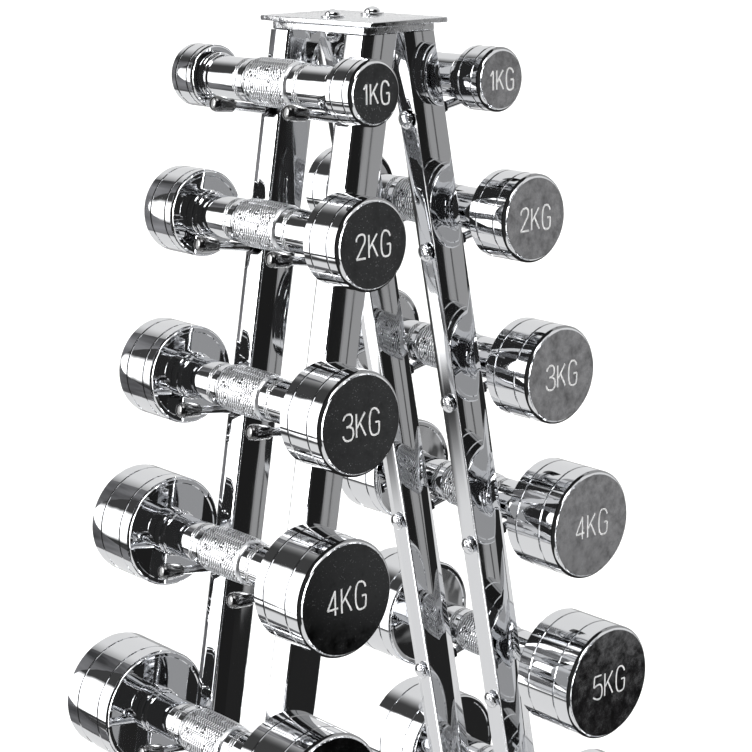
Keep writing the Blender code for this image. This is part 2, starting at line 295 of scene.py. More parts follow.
def knurled_chrome(name, colour):
    """Chrome over rolled knurling: bright points, and grooves darkened with painted shade.

    The grip's own knurl_height says where the points and the grooves are.
    """
    material, tree, shader, place = new_material(name)
    shader.inputs["Metallic"].default_value = 1.0
    height = add_node(tree, "ShaderNodeAttribute", {"attribute_name": "knurl_height"})
    grime = add_node(tree, "ShaderNodeTexNoise", {"Scale": per_metre(4), "Detail": 3.0}, {"Vector": place})
    point = add_node(tree, "ShaderNodeMapRange", {"From Min": 0.10, "From Max": 0.62},
                     {"Value": height.outputs["Fac"]})
    # Painted shade: the grooves take a dark grey, the points the chrome's own colour
    tint = add_node(tree, "ShaderNodeMix", {"data_type": "RGBA", 6: linear("#4E4E50"), 7: linear(colour)},
                    {0: point.outputs["Result"]})
    tree.links.new(tint.outputs[2], shader.inputs["Base Color"])
    rough = add_node(tree, "ShaderNodeMapRange",
                     {"From Min": 0.35, "From Max": 0.7, "To Min": 0.26, "To Max": 0.40},
                     {"Value": grime.outputs["Fac"]})
    tree.links.new(rough.outputs["Result"], shader.inputs["Roughness"])
    return material


def moulded_plastic(name, colour, roughness=0.16, grain_mm=0.9, coat=0.0):
    """Injection-moulded black plastic: glossy caps and duller plugs, with the faint grain of the mould."""
    material, tree, shader, place = new_material(name)
    shader.inputs["Base Color"].default_value = linear(colour)
    shader.inputs["IOR"].default_value = 1.55
    shader.inputs["Specular IOR Level"].default_value = 0.5 + 0.5 * coat
    shader.inputs["Coat Weight"].default_value = coat
    haze = add_node(tree, "ShaderNodeTexNoise", {"Scale": per_metre(6), "Detail": 4.0}, {"Vector": place})
    rough = add_node(tree, "ShaderNodeMapRange",
                     {"From Min": 0.3, "From Max": 0.75,
                      "To Min": roughness * 0.7, "To Max": roughness * 1.6},
                     {"Value": haze.outputs["Fac"]})
    tree.links.new(rough.outputs["Result"], shader.inputs["Roughness"])
    # A mould's real grain is too fine to show, so it is drawn coarser
    grain = add_node(tree, "ShaderNodeTexNoise", {"Scale": per_metre(grain_mm), "Detail": 2.0},
                     {"Vector": place})
    bump = add_node(tree, "ShaderNodeBump", {"Strength": 0.25, "Distance": 0.00004},
                    {"Height": grain.outputs["Fac"]})
    tree.links.new(bump.outputs["Normal"], shader.inputs["Normal"])
    return material


def moulded_rubber(name, colour):
    """Black rubber: dull, with a fine pebbled skin."""
    material, tree, shader, place = new_material(name)
    shader.inputs["Base Color"].default_value = linear(colour)
    shader.inputs["Roughness"].default_value = 0.75
    pebble = add_node(tree, "ShaderNodeTexVoronoi", {"Scale": per_metre(1.0)}, {"Vector": place})
    bump = add_node(tree, "ShaderNodeBump", {"Strength": 0.4, "Distance": 0.0001},
                    {"Height": pebble.outputs["Distance"]})
    tree.links.new(bump.outputs["Normal"], shader.inputs["Normal"])
    return material


def studio_paint(name, colour):
    """The pale matt floor."""
    material, tree, shader, place = new_material(name)
    shader.inputs["Roughness"].default_value = 0.9
    mottle = add_node(tree, "ShaderNodeTexNoise", {"Scale": per_metre(400), "Detail": 3.0},
                      {"Vector": place})
    tint = add_node(tree, "ShaderNodeMix", {"data_type": "RGBA", 6: linear(colour), 7: linear("#FAFAFA")},
                    {0: mottle.outputs["Fac"]})
    tree.links.new(tint.outputs[2], shader.inputs["Base Color"])
    return material


def card_paint(name, colour):
    """A dark card that glows faintly and unevenly, as one lit from behind does."""
    material, tree, shader, place = new_material(name)
    shader.inputs["Base Color"].default_value = (0.0, 0.0, 0.0, 1.0)
    shader.inputs["Roughness"].default_value = 1.0
    shader.inputs["Emission Color"].default_value = linear(colour)
    cloud = add_node(tree, "ShaderNodeTexNoise", {"Scale": per_metre(60), "Detail": 4.0}, {"Vector": place})
    glow = add_node(tree, "ShaderNodeMapRange",
                    {"From Min": 0.35, "From Max": 0.7, "To Min": 0.25, "To Max": 1.6},
                    {"Value": cloud.outputs["Fac"]})
    tree.links.new(glow.outputs["Result"], shader.inputs["Emission Strength"])
    return material


MATERIALS = {}


def make_materials():
    """Makes every finish of the rack, in the colours its settings hold."""
    colours = bpy.context.scene.rack_colours
    MATERIALS.update(
        tube=chrome_plate("Chrome plated steel tube", colours.chrome, 30.0, 0.00010, (0.02, 0.08),
                          (1, 1, 0.25)),
        plate=pitted_chrome("Pitted chrome plate", colours.chrome),
        rod=chrome_plate("Chrome plated rod", colours.chrome, 12.0, 0.00005, (0.03, 0.10)),
        head=chrome_plate("Polished chrome head", colours.chrome, 22.0, 0.00012, (0.015, 0.07)),
        handle=chrome_plate("Polished chrome handle", colours.chrome, 16.0, 0.00006, (0.02, 0.08)),
        knurl=knurled_chrome("Knurled chrome", colours.chrome),
        # The two end-face finishes are one chrome in two colours of painted shade, darker for the front row
        face_front=painted_shade_face("Chrome end face in dark painted shade", colours.face_front),
        face_back=painted_shade_face("Chrome end face in lighter painted shade", colours.face_back),
        nut=chrome_plate("Dark grey steel nut", colours.nut, 8.0, 0.00005, (0.1, 0.25)),
        mark=stamped_mark("Stamped chrome mark", colours.mark),
        cap=moulded_plastic("Glossy black cap plastic", colours.cap, coat=1.0),
        plug=moulded_plastic("Black end plug plastic", colours.cap, 0.4, 0.6),
        rubber=moulded_rubber("Black pad rubber", colours.rubber),
    )


# ---------------------------------------------------------------- modelling helpers


def deselect():
    bpy.ops.object.select_all(action="DESELECT")


def make_active(piece):
    deselect()
    piece.select_set(True)
    bpy.context.view_layer.objects.active = piece


def start_edit(piece, select="DESELECT"):
    make_active(piece)
    bpy.ops.object.mode_set(mode="EDIT")
    bpy.ops.mesh.select_all(action=select)


def end_edit():
    bpy.ops.object.mode_set(mode="OBJECT")


def pick(piece, faces=None, edges=None, verts=None):
    """Selects what the given tests accept, in edit mode; each test takes a face, an edge or a vertex."""
    bpy.ops.object.mode_set(mode="OBJECT")
    mesh = piece.data
    mode = (bool(verts), bool(edges), bool(faces))
    for group in (mesh.vertices, mesh.edges, mesh.polygons):
        group.foreach_set("select", [False] * len(group))
    if verts:
        for vert in mesh.vertices:
            vert.select = verts(vert)
    if edges:
        for edge in mesh.edges:
            edge.select = edges(edge)
    if faces:
        for face in mesh.polygons:
            face.select = faces(face)
    bpy.ops.object.mode_set(mode="EDIT")
    bpy.context.tool_settings.mesh_select_mode = mode


def finish_mesh(piece, angle):
    """Closes up a piece: doubles merged, normals out, smooth except at sharp edges."""
    start_edit(piece, "SELECT")
    bpy.ops.mesh.remove_doubles(threshold=WELD)
    bpy.ops.mesh.normals_make_consistent(inside=False)
    end_edit()
    make_active(piece)
    bpy.ops.object.shade_smooth_by_angle(angle=math.radians(angle), keep_sharp_edges=False)


def settle(piece, matrix):
    """Puts a piece at its place and applies it, so its object sits unturned at the origin."""
    piece.matrix_world = matrix
    make_active(piece)
    bpy.ops.object.transform_apply(location=True, rotation=True, scale=True)
    return piece


def dress(piece, material, slot, body, nodes=()):
    """Gives a finished piece its material and its body, and hides what it stands for; its slot is not used.
    """
    if material is not None:
        piece.data.materials.clear()
        piece.data.materials.append(material)
    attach(piece, body)
    if nodes:
        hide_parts(*nodes)


def copy_piece(piece, name):
    copy = piece.copy()
    copy.data = piece.data.copy()
    copy.name = name
    copy.data.name = name
    bpy.context.collection.objects.link(copy)
    return copy


def join(pieces, name):
    """Joins pieces into the first one, each keeping its own material slots."""
    deselect()
    for piece in pieces:
        piece.select_set(True)
    bpy.context.view_layer.objects.active = pieces[0]
    bpy.ops.object.join()
    pieces[0].name = name
    return pieces[0]


def turn(name, rings, sides):
    """Turns a closed round piece along Z; rings are (radius, height) from its foot to its top."""
    radius, height = rings[0]
    deselect()
    bpy.ops.mesh.primitive_circle_add(vertices=sides, radius=radius, fill_type="NGON",
                                      location=(0, 0, height))
    piece = bpy.context.active_object
    piece.name = name
    bpy.ops.object.transform_apply(location=True)
    start_edit(piece, "SELECT")
    bpy.context.tool_settings.mesh_select_mode = (False, False, True)
    for next_radius, next_height in rings[1:]:
        bpy.ops.mesh.extrude_region_move(TRANSFORM_OT_translate={"value": (0, 0, next_height - height)})
        if abs(next_radius - radius) > 1e-7:
            grow = next_radius / radius
            bpy.ops.transform.resize(value=(grow, grow, 1), center_override=(0, 0, next_height))
        radius, height = next_radius, next_height
    bpy.ops.mesh.select_all(action="SELECT")
    bpy.ops.mesh.normals_make_consistent(inside=False)
    end_edit()
    return piece


def round_corner(start, end, bulge, steps=4):
    """Ring points of a hollow quarter round from start to end: "in" sets off upwards, "out" sideways."""
    points = []
    for i in range(steps + 1):
        angle = math.pi / 2 * i / steps
        along, across = math.sin(angle), 1 - math.cos(angle)
        if bulge == "out":
            along, across = across, along
        points.append((start[0] + (end[0] - start[0]) * across, start[1] + (end[1] - start[1]) * along))
    return points


def cut(piece, cutter):
    """Takes the cutter's volume out of the piece and leaves the cutter in the scene."""
    modifier = piece.modifiers.new("cut", "BOOLEAN")
    modifier.operation = "DIFFERENCE"
    modifier.solver = "EXACT"
    modifier.use_self = True
    modifier.object = cutter
    make_active(piece)
    bpy.ops.object.modifier_apply(modifier=modifier.name)


def bevel_edges(piece, width, segments, test=None):
    start_edit(piece)
    if test is None:
        bpy.ops.mesh.select_all(action="SELECT")
    else:
        pick(piece, edges=test)
    bpy.ops.mesh.bevel(offset=width, segments=segments, profile=0.5, affect="EDGES")
    end_edit()


def box_piece(name, size, location=(0, 0, 0)):
    deselect()
    bpy.ops.mesh.primitive_cube_add(size=1, location=location)
    piece = bpy.context.active_object
    piece.name = name
    piece.scale = size
    bpy.ops.object.transform_apply(location=True, rotation=True, scale=True)
    return piece


def drill_piece(sides, radius, depth, location=(0, 0, 0)):
    """A plain cylinder along Z, to cut a hole with."""
    deselect()
    bpy.ops.mesh.primitive_cylinder_add(vertices=sides, radius=radius, depth=depth, location=location)
    return bpy.context.active_object


def long_edges(piece, axis):
    """A test for edges of a box that run along one axis."""
    mesh = piece.data

    def runs_along(edge):
        a, b = (mesh.vertices[i].co for i in edge.vertices)
        return abs(a[axis] - b[axis]) > 0.9 * (a - b).length
    return runs_along


def level_edges(piece, levels):
    """A test for edges that lie level at one of the given heights."""
    mesh = piece.data

    def lies_level(edge):
        heights = [mesh.vertices[i].co.z for i in edge.vertices]
        return all(min(abs(z - level) for level in levels) < 1e-6 for z in heights)
    return lies_level


def tube_piece(name, size, axis, corner, wall):
    """Rectangular tube, open at both ends, with rounded corners and a real wall."""
    tube = box_piece(name, size)
    bevel_edges(tube, corner, 6, long_edges(tube, axis))
    start_edit(tube)
    pick(tube, faces=lambda face: abs(face.normal[axis]) > 0.9)
    bpy.ops.mesh.delete(type="FACE")
    bpy.ops.mesh.select_all(action="SELECT")
    bpy.ops.mesh.normals_make_consistent(inside=False)
    end_edit()
    solidify = tube.modifiers.new("wall", "SOLIDIFY")
    solidify.thickness = wall
    solidify.offset = -1.0
    solidify.use_even_offset = True
    make_active(tube)
    bpy.ops.object.modifier_apply(modifier=solidify.name)
    return tube


def outward(side):
    """Straight out of a leg's outer face, which is also the way its pegs point."""
    return Vector((0.0, side * math.cos(LEAN), math.sin(LEAN)))


def peg_frame(name, side):
    """Where a peg leaves the leg's outer face, as a frame whose Z points along the peg."""
    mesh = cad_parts[name].data
    tip = max((vert.co for vert in mesh.vertices), key=lambda co: co.y * side)
    root = Vector(tip) - outward(side) * PEG_REACH
    turned = Vector((0, 0, 1)).rotation_difference(outward(side)).to_matrix().to_4x4()
    return Matrix.Translation(root) @ turned


# ---------------------------------------------------------------- stand


class RACK_OT_legs(bpy.types.Operator):
    """Four leaning chrome tubes, cut level at both ends and bored for the pegs"""
    bl_idname = "rack.legs"
    bl_label = "Legs"

    def execute(self, context):
        sizes = context.scene.rack_stand
        for side_name, side in SIDES.items():
            for hand_name in HANDS:
                node = f"leg_{side_name}_{hand_name}"
                low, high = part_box(node)
                span = (high.z - low.z) / math.cos(LEAN) + 2 * TUBE_DEPTH
                leg = tube_piece(node + "_tube", (TUBE_FACE, TUBE_DEPTH, span), 2,
                                 sizes.tube_corner, sizes.tube_wall)
                depth = TUBE_DEPTH / math.cos(LEAN)
                inner_top = max(low.y, high.y, key=lambda y: -y * side)
                top = Vector(((low.x + high.x) / 2, inner_top + side * depth / 2, high.z))
                down = Vector((0.0, side * math.sin(LEAN), -math.cos(LEAN)))
                middle = top + down * (high.z - low.z) / 2 / math.cos(LEAN)
                settle(leg, Matrix.Translation(middle) @ Matrix.Rotation(side * LEAN, 4, "X"))
                for level, clear_outer in ((high.z, True), (low.z, False)):
                    start_edit(leg, "SELECT")
                    bpy.ops.mesh.bisect(plane_co=(0, 0, level), plane_no=(0, 0, 1), use_fill=False,
                                        clear_outer=clear_outer, clear_inner=not clear_outer)
                    end_edit()
                start_edit(leg)
                pick(leg, edges=level_edges(leg, (low.z, high.z)))
                bpy.ops.mesh.bridge_edge_loops()
                end_edit()
                self.bore(leg, side_name, hand_name, side)
                finish_mesh(leg, 30)
                dress(leg, MATERIALS["tube"], "stand", "stand", [node])
        return {"FINISHED"}

    def bore(self, leg, side_name, hand_name, side):
        """Cuts the peg holes straight through both walls."""
        radius = bpy.context.scene.rack_pegs.rod_radius + GAP
        drills = []
        for mark in MARKS:
            drill = drill_piece(24, radius, 2.6 * TUBE_DEPTH)
            drills.append(settle(drill, peg_frame(f"peg_{side_name}_{hand_name}_{mark}kg", side)))
        drill = join(drills, "peg_drill")
        cut(leg, drill)
        bpy.data.objects.remove(drill)


class RACK_OT_top(bpy.types.Operator):
    """The top plate and its flange, with the two dome bolts and their dome nuts"""
    bl_idname = "rack.top"
    bl_label = "Top Plate"

    def execute(self, context):
        edge = context.scene.rack_stand.plate_edge
        for node in ("top_plate", "top_flange"):
            low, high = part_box(node)
            sheet = box_piece(node + "_sheet", high - low, (low + high) / 2)
            bevel_edges(sheet, PLATE_CORNER, 5, long_edges(sheet, 2))
            bevel_edges(sheet, edge, 3, lambda e, mesh=sheet.data: abs(
                mesh.vertices[e.vertices[0]].co.z - mesh.vertices[e.vertices[1]].co.z) < 1e-6)
            self.bore(sheet, low, high)
            finish_mesh(sheet, 30)
            dress(sheet, MATERIALS["plate"], "stand", "stand", [node])
        bolt = self.dome_bolt()
        for side_name in SIDES:
            low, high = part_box(f"top_bolt_{side_name}")
            plate_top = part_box("top_plate")[1].z
            flange_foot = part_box("top_flange")[0].z
            copy = copy_piece(bolt, f"top_bolt_{side_name}_dome")
            settle(copy, Matrix.Translation((0, (low.y + high.y) / 2, plate_top)))
            dress(copy, MATERIALS["rod"], "fastener", "stand", [f"top_bolt_{side_name}"])
            nut = self.dome_nut(f"top_nut_{side_name}", flange_foot - low.z)
            settle(nut, Matrix.Translation((0, (low.y + high.y) / 2, flange_foot)))
            dress(nut, MATERIALS["rod"], "fastener", "stand")
        bpy.data.objects.remove(bolt)
        return {"FINISHED"}

    def bore(self, sheet, low, high):
        """Cuts a sheet's two bolt holes."""
        drills = []
        for side_name in SIDES:
            bolt_low, bolt_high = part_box(f"top_bolt_{side_name}")
            middle = (0, (bolt_low.y + bolt_high.y) / 2, (low.z + high.z) / 2)
            drills.append(drill_piece(32, BOLT_HOLE_RADIUS, (high.z - low.z) * 3, middle))
        drill = join(drills, "bolt_drill")
        cut(sheet, drill)
        bpy.data.objects.remove(drill)

    def dome_bolt(self):
        """A dome head on a wide collar, with a hex socket, on a plain shank."""
        shank, shank_end, collar = 3.9 * MM, -11.5 * MM, 8.1 * MM
        head, foot, top = 5.6 * MM, 1.6 * MM, 5.2 * MM
        rings = [(shank, shank_end), (shank, GAP), (collar - 0.2 * MM, GAP), (collar, 0.5 * MM),
                 (collar, 1.1 * MM), (collar - 0.3 * MM, 1.4 * MM), (head + 0.2 * MM, 1.5 * MM),
                 (head, foot)]
        steps = 8
        for i in range(1, steps):
            angle = math.pi / 2 * i / steps
            rings.append((head * math.cos(angle) ** 0.75, foot + (top - foot) * math.sin(angle)))
        bolt = turn("dome_bolt", rings, 48)
        socket = drill_piece(6, 2.2 * MM, 4 * MM, (0, 0, top))
        cut(bolt, socket)
        bpy.data.objects.remove(socket)
        finish_mesh(bolt, 40)
        return bolt

    def dome_nut(self, name, height):
        """A washer, a hex nut and the dome that closes it, hanging below the flange."""
        washer = turn(name + "_washer", [(6.4 * MM, -1.4 * MM), (6.4 * MM, -0.4 * MM)], 36)
        hexagon = turn(name + "_hex", [(6.0 * MM, -height * 0.5), (6.0 * MM, -1.45 * MM)], 6)
        bevel_edges(hexagon, 0.35 * MM, 2)
        dome = [(0.6 * MM, -height)]
        for i in range(1, 7):
            angle = math.pi / 2 * i / 6
            dome.append((5.0 * MM * math.sin(angle), -height * 0.5 - height * 0.5 * math.cos(angle)))
        crown = turn(name + "_crown", dome, 36)
        for part in (washer, hexagon, crown):
            finish_mesh(part, 35)
        return join([hexagon, washer, crown], name)


class RACK_OT_base(bpy.types.Operator):
    """The two foot bars with their end plugs and rubber pads, and the two side rails"""
    bl_idname = "rack.base"
    bl_label = "Base"

    def execute(self, context):
        sizes = context.scene.rack_stand
        for side_name in SIDES:
            node = f"foot_bar_{side_name}"
            low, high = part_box(node)
            size, centre = high - low, (low + high) / 2
            lift = sizes.pad_height
            tube_size = (size.x - 2 * sizes.plug_depth, size.y, size.z - lift)
            bar = tube_piece(node + "_tube", tube_size, 0, sizes.tube_corner, sizes.tube_wall)
            settle(bar, Matrix.Translation(centre + Vector((0, 0, lift / 2))))
            finish_mesh(bar, 30)
            dress(bar, MATERIALS["tube"], "stand", "stand", [node])
            for hand_name, hand in HANDS.items():
                plug = self.end_plug(f"{node}_plug_{hand_name}", tube_size, sizes.plug_depth,
                                     sizes.tube_wall, hand)
                end = Vector((centre.x + hand * (tube_size[0] / 2 + GAP / 3), centre.y, centre.z + lift / 2))
                settle(plug, Matrix.Translation(end))
                dress(plug, MATERIALS["plug"], "foot", "stand")
                pad = self.pad(f"{node}_pad_{hand_name}", sizes.pad_height, size.y)
                settle(pad, Matrix.Translation((hand * (size.x / 2 - PAD_INSET), centre.y, low.z)))
                dress(pad, MATERIALS["rubber"], "foot", "stand")
        for hand_name in HANDS:
            node = f"side_rail_{hand_name}"
            low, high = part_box(node)
            rail = tube_piece(node + "_tube", high - low, 1, sizes.tube_corner, sizes.tube_wall)
            settle(rail, Matrix.Translation((low + high) / 2))
            finish_mesh(rail, 30)
            dress(rail, MATERIALS["tube"], "stand", "stand", [node])
        return {"FINISHED"}

    def end_plug(self, name, tube_size, depth, wall, hand):
        """A plug with a rounded cap outside the tube and a spigot inside it."""
        cap = box_piece(name, (depth - GAP, tube_size[1], tube_size[2]), (hand * (depth - GAP) / 2, 0, 0))
        bevel_edges(cap, 2.2 * MM, 5, long_edges(cap, 0))
        bevel_edges(cap, 1.1 * MM, 3, lambda e, mesh=cap.data: all(
            abs(mesh.vertices[i].co.x) > depth * 0.6 for i in e.vertices))
        start_edit(cap)
        pick(cap, faces=lambda face: face.normal.x * hand < -0.9)
        bpy.ops.mesh.inset(thickness=wall + GAP, depth=0)
        bpy.ops.mesh.extrude_region_move(TRANSFORM_OT_translate={"value": (-hand * SPIGOT_DEPTH, 0, 0)})
        end_edit()
        finish_mesh(cap, 35)
        return cap

    def pad(self, name, height, width):
        """A round rubber pad with a stepped edge."""
        radius = width / 2 - 4 * MM
        rings = [(radius * 0.9, 0.0), (radius, 0.5 * MM), (radius, height * 0.7),
                 (radius * 0.93, height * 0.98)]
        pad = turn(name, rings, 48)
        finish_mesh(pad, 50)
        return pad


# ---------------------------------------------------------------- pegs


class RACK_OT_pegs(bpy.types.Operator):
    """Peg bolts through the legs, each with a dome head, a washer, a jam nut and a black cap"""
    bl_idname = "rack.pegs"
    bl_label = "Pegs"

    def execute(self, context):
        sizes = context.scene.rack_pegs
        bolt = self.peg_bolt(sizes)
        nut = self.jam_nut(sizes)
        cap = self.cap(sizes)
        for side_name, side in SIDES.items():
            for hand_name in HANDS:
                for mark in MARKS:
                    node = f"peg_{side_name}_{hand_name}_{mark}kg"
                    place = peg_frame(node, side)
                    pieces = ((bolt, "rod", "peg", [node]), (nut, "nut", "fastener", ()),
                              (cap, "cap", "cap", ()))
                    for model, material, slot, nodes in pieces:
                        copy = copy_piece(model, f"{node}_{model.name}")
                        settle(copy, place)
                        dress(copy, MATERIALS[material], slot, "stand", nodes)
        for model in (bolt, nut, cap):
            bpy.data.objects.remove(model)
        return {"FINISHED"}

    def peg_bolt(self, sizes):
        """A rod that runs from its dome head on the leg's inner face into the cap."""
        head, height = 6.3 * MM, 3.2 * MM
        inner = -TUBE_DEPTH - GAP
        rim = inner - 0.6 * MM
        rings = []
        for i in range(6):
            angle = math.pi / 2 * i / 6
            width = max(head * math.sin(angle) ** 0.9, 0.5 * MM)
            rings.append((width, rim - height * 0.8 * math.cos(angle)))
        rings += [(head, rim), (head * 0.96, inner), (sizes.rod_radius, inner),
                  (sizes.rod_radius, PEG_REACH - sizes.cap_length + 9 * MM)]
        bolt = turn("bolt", rings, 32)
        finish_mesh(bolt, 40)
        return bolt

    def jam_nut(self, sizes):
        """A chamfered hex nut over a round washer."""
        bore = sizes.rod_radius + 0.05 * MM
        washer = turn("washer", [(4.9 * MM, GAP), (4.9 * MM, GAP + 0.8 * MM)], 36)
        corner = sizes.nut_across / 2
        nut = turn("nut", [(corner, GAP + 0.85 * MM), (corner, GAP + 4.4 * MM)], 6)
        bevel_edges(nut, 0.35 * MM, 2)
        drill = drill_piece(32, bore, 30 * MM)
        for part in (washer, nut):
            cut(part, drill)
            finish_mesh(part, 35)
        bpy.data.objects.remove(drill)
        return join([nut, washer], "nut")

    def cap(self, sizes):
        """A push-on cap: a narrow mouth, a barrel that widens a little and a domed end."""
        start = PEG_REACH - sizes.cap_length
        radius = sizes.cap_radius
        mouth = sizes.rod_radius + 0.05 * MM
        dome = PEG_REACH - radius * 0.8
        rings = [(mouth, start + 8 * MM), (mouth, start), (radius * 0.80, start),
                 (radius * 0.85, start + 0.5 * MM), (radius * 0.87, start + 4 * MM),
                 (radius * 0.95, start + 7 * MM), (radius, dome)]
        for i in range(1, 9):
            angle = math.pi / 2 * i / 9
            rings.append((radius * math.cos(angle) ** 0.6, dome + radius * 0.79 * math.sin(angle)))
        cap = turn("cap", rings, 40)
        finish_mesh(cap, 40)
        return cap


# ---------------------------------------------------------------- dumbbells


class RACK_OT_dumbbells(bpy.types.Operator):
    """Sixteen dumbbells: grooved heads, stamped end faces, and a handle with its knurled grip"""
    bl_idname = "rack.dumbbells"
    bl_label = "Dumbbells"

    def execute(self, context):
        sizes = context.scene.rack_dumbbell
        handle = self.handle(sizes)
        grip = self.grip(sizes)
        for mark in MARKS:
            low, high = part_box(f"dumbbell_front_{mark}kg")
            length = (high.x - low.x - HANDLE_LENGTH) / 2
            radius = (high.z - low.z) / 2
            heads = self.heads(mark, radius, length, sizes)
            faces = self.faces(mark, radius, length, sizes)
            for side_name in SIDES:
                node = f"dumbbell_{side_name}_{mark}kg"
                low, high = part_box(node)
                place = Matrix.Translation((low + high) / 2) @ Matrix.Rotation(math.pi / 2, 4, "Y")
                for model, part, material in ((heads, "heads", "head"), (faces, "faces", None),
                                              (handle, "handle", "handle"), (grip, "grip", "knurl")):
                    copy = copy_piece(model, f"{node}_{part}")
                    settle(copy, place)
                    dress(copy, MATERIALS.get(material), "dumbbell", node, [node] if part == "heads" else ())
                    if part == "faces":
                        # Front and back faces take shaded copies of one finish: painted shade, darker on the
                        # front ones
                        copy.data.materials[0] = MATERIALS[f"face_{side_name}"]
            bpy.data.objects.remove(heads)
            bpy.data.objects.remove(faces)
        bpy.data.objects.remove(handle)
        bpy.data.objects.remove(grip)
        return {"FINISHED"}

    def both_ends(self, piece, name):
        """Adds the same piece turned round onto the other end."""
        other = copy_piece(piece, name + "_other")
        settle(other, Matrix.Rotation(math.pi, 4, "X"))
        return join([piece, other], name)

    def heads(self, mark, radius, length, sizes):
        """Two heads: dished inside for the handle's end, grooved twice, and coved at both rims."""
        inner = HANDLE_LENGTH / 2
        outer = inner + length
        neck = sizes.neck_radius + 2.2 * MM
        rim, seat, depth = 2.6 * MM, 1.2 * MM, sizes.groove_depth
        shoulder, floor = radius - depth * 0.15, radius - depth
        rings = [(neck, inner + 0.9 * MM), (radius - 4.6 * MM, inner + 0.9 * MM),
                 (radius - 4.0 * MM, inner + 0.1 * MM)]
        rings += round_corner((radius - 1.6 * MM, inner), (radius, inner + 1.6 * MM), "in")
        for share in (0.23, 0.70):
            at = inner + length * share
            rings += [(radius, at - 0.8 * MM), (shoulder, at - 0.7 * MM), (floor, at - 0.3 * MM),
                      (floor, at + 0.3 * MM), (shoulder, at + 0.7 * MM), (radius, at + 0.8 * MM)]
        rings += round_corner((radius, outer - rim), (radius - rim, outer), "out", 6)
        rings += [(radius - rim - 0.03 * MM, outer - 0.03 * MM), (radius - rim - 0.03 * MM, outer - seat)]
        head = turn(f"heads_{mark}", rings, sizes.head_sides)
        finish_mesh(head, 28)
        return self.both_ends(head, f"heads_{mark}")

    def faces(self, mark, radius, length, sizes):
        """Two end faces, each a polished disc let in flush, with the weight stamped into it."""
        outer = HANDLE_LENGTH / 2 + length
        disc_radius = radius - 2.65 * MM
        rings = [(disc_radius, outer - 1.15 * MM), (disc_radius, outer - 0.06 * MM),
                 (disc_radius - 0.08 * MM, outer)]
        disc = turn(f"faces_{mark}", rings, sizes.head_sides)
        disc.data.materials.append(MATERIALS["face_front"])
        disc.data.materials.append(MATERIALS["mark"])
        for punch in self.punches(f"{mark}KG", sizes.mark_height + 0.22 * disc_radius, outer):
            cut(disc, punch)
            bpy.data.objects.remove(punch)
        finish_mesh(disc, 30)
        return self.both_ends(disc, f"faces_{mark}")

    def punches(self, words, height, outer):
        """One round-nosed punch for each stroke of a mark, biting 0.4 mm into the face."""
        nose, bite = 0.78 * MM, 0.40 * MM
        scale = height / 6
        widths = [2.4 if letter == "1" else 4.0 for letter in words]
        start = -(sum(widths) + 1.5 * (len(words) - 1)) / 2
        punches = []
        for letter, width in zip(words, widths):
            for stroke in STROKES[letter]:
                curve = bpy.data.curves.new("stroke", "CURVE")
                curve.dimensions = "3D"
                curve.bevel_depth = nose
                curve.bevel_resolution = 3
                curve.use_fill_caps = True
                path = curve.splines.new("NURBS")
                path.use_cyclic_u = stroke[0] == stroke[-1]
                if path.use_cyclic_u:
                    stroke = stroke[:-1]
                path.points.add(len(stroke) - 1)
                for point, (x, y) in zip(path.points, stroke):
                    point.co = ((start + x) * scale * 0.78, (y - 3) * scale, 0, 1)
                path.order_u = 3
                path.use_endpoint_u = not path.use_cyclic_u
                path.resolution_u = 8
                punch = bpy.data.objects.new("punch", curve)
                bpy.context.collection.objects.link(punch)
                make_active(punch)
                bpy.ops.object.convert(target="MESH")
                punch = bpy.context.active_object
                level = outer + nose - bite
                settle(punch, Matrix.Translation((0, 0, level)) @ Matrix.Rotation(math.pi / 2, 4, "Z"))
                start_edit(punch, "SELECT")
                bpy.ops.mesh.remove_doubles(threshold=WELD)
                bpy.ops.mesh.normals_make_consistent(inside=False)
                end_edit()
                punch.data.materials.clear()
                punch.data.materials.append(MATERIALS["face_front"])
                punch.data.materials.append(MATERIALS["mark"])
                punch.data.polygons.foreach_set("material_index", [1] * len(punch.data.polygons))
                punches.append(punch)
            start += width + 1.5
        return punches

    def handle(self, sizes):
        """The handle: a collar and a step at each head, plain necks, and a waist under the grip."""
        neck = sizes.neck_radius
        end = HANDLE_LENGTH / 2 + 0.7 * MM
        collar, step = neck + 2.0 * MM, neck + 1.0 * MM
        half = [(collar, end), (collar, end - 4.5 * MM), (collar - 0.5 * MM, end - 5.0 * MM),
                (neck + 0.3 * MM, end - 5.2 * MM), (neck + 0.3 * MM, end - 5.8 * MM), (step, end - 6.0 * MM),
                (step, end - 8.6 * MM), (step - 0.4 * MM, end - 9.0 * MM), (neck - 0.2 * MM, end - 9.2 * MM),
                (neck - 0.2 * MM, end - 9.8 * MM), (neck, end - 10.1 * MM), (neck, 24.2 * MM),
                (neck - 0.6 * MM, 23.8 * MM), (neck - 0.6 * MM, 1.0 * MM)]
        rings = [(r, -z) for r, z in half] + [(r, z) for r, z in reversed(half)]
        handle = turn("handle", rings, sizes.head_sides)
        finish_mesh(handle, 28)
        return handle

    def grip(self, sizes):
        """The knurled grip and the two thin knurled bands beside it."""
        parts = [self.knurled("grip", sizes, 0.0, sizes.grip_length, sizes.grip_radius, 2.6 * MM, 0.35 * MM)]
        for hand in (-1, 1):
            parts.append(self.knurled("band", sizes, hand * BAND_CENTRE, BAND_LENGTH,
                                      sizes.neck_radius + 0.25 * MM, 0.5 * MM, 0.0))
        return join(parts, "grip")

